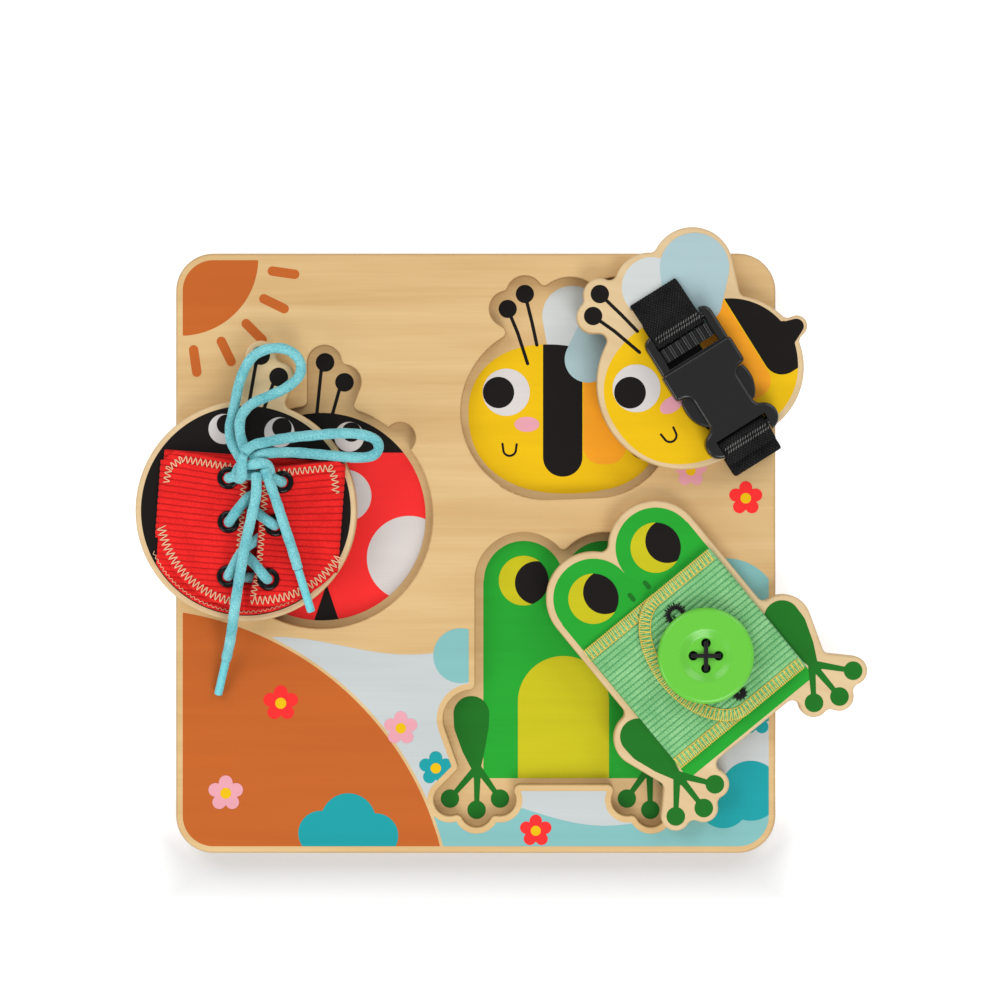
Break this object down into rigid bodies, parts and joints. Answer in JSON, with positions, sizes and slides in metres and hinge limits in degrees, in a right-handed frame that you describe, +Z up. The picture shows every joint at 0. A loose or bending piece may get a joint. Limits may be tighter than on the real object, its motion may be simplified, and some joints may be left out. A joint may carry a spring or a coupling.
{
  "type": "wooden lacing board",
  "caption": "Square wooden board with animal-shaped recesses and lift-out plates for practising fastenings: a laced vest, a strap with a side-release buckle and a buttoned knit.",
  "frame": {"origin": "Middle of the board's underside, which lies on the table.", "axes": "+Z up out of the printed face, +Y towards the bee's edge of the board, +X towards the bee and the frog."},
  "size_m": [0.2911, 0.2499, 0.037],
  "materials": {
    "board_wood": "satin",
    "plate_wood": "satin",
    "corduroy": "ribbed",
    "eyelet": "satin",
    "lace": "braided",
    "aglet": "gloss",
    "webbing": "woven",
    "buckle": "satin",
    "knit": "ribbed",
    "button": "gloss",
    "thread": "matte"
  },
  "bodies": {
    "board": {"base_panel": "board_wood", "frame_panel": "board_wood"},
    "ladybird": {"ladybird_plate": "plate_wood", "vest_back": "corduroy", "vest_left_flap": "corduroy", "vest_right_flap": "corduroy", "eyelet_top_left": "eyelet", "eyelet_middle_left": "eyelet", "eyelet_bottom_left": "eyelet", "eyelet_top_right": "eyelet", "eyelet_middle_right": "eyelet", "eyelet_bottom_right": "eyelet", "lace_lacing": "lace", "lace_knot": "lace", "lace_upper_loop": "lace", "lace_right_loop": "lace", "lace_left_tail": "lace", "lace_right_tail": "lace", "aglet_left": "aglet", "aglet_right": "aglet"},
    "bee": {"bee_plate": "plate_wood", "upper_strap": "webbing", "lower_strap": "webbing", "buckle_socket": "buckle", "buckle_plug": "buckle"},
    "latch_left": {"latch_left": "buckle"},
    "latch_right": {"latch_right": "buckle"},
    "frog": {"frog_plate": "plate_wood", "knit_panel": "knit", "knit_flap": "knit"},
    "button": {"button": "button", "button_thread": "thread"}
  },
  "joints": [
    {"name": "ladybird_lift", "type": "slide", "parent": "board", "child": "ladybird", "axis": [0, 0, 1], "range_m": [0, 0.06]},
    {"name": "bee_lift", "type": "slide", "parent": "board", "child": "bee", "axis": [0, 0, 1], "range_m": [0, 0.06]},
    {"name": "frog_lift", "type": "slide", "parent": "board", "child": "frog", "axis": [0, 0, 1], "range_m": [0, 0.06]},
    {"name": "latch_left_press", "type": "hinge", "parent": "bee", "child": "latch_left", "pos_m": [0.08013, 0.07167, 0.0223], "axis": [0, 0, 1], "range_deg": [0, 5], "stiffness_Nm_per_rad": 0.5},
    {"name": "latch_right_press", "type": "hinge", "parent": "bee", "child": "latch_right", "pos_m": [0.09574, 0.08142, 0.0223], "axis": [0, 0, -1], "range_deg": [0, 5], "stiffness_Nm_per_rad": 0.5},
    {"name": "button_turn", "type": "hinge", "parent": "frog", "child": "button", "pos_m": [0.09098, -0.04019, 0.0234], "axis": [0, 0, 1], "range_deg": [-45, 45]}
  ],
  "couplings": [
    {"joint": "latch_right_press", "follows": "latch_left_press", "ratio": 1}
  ]
}
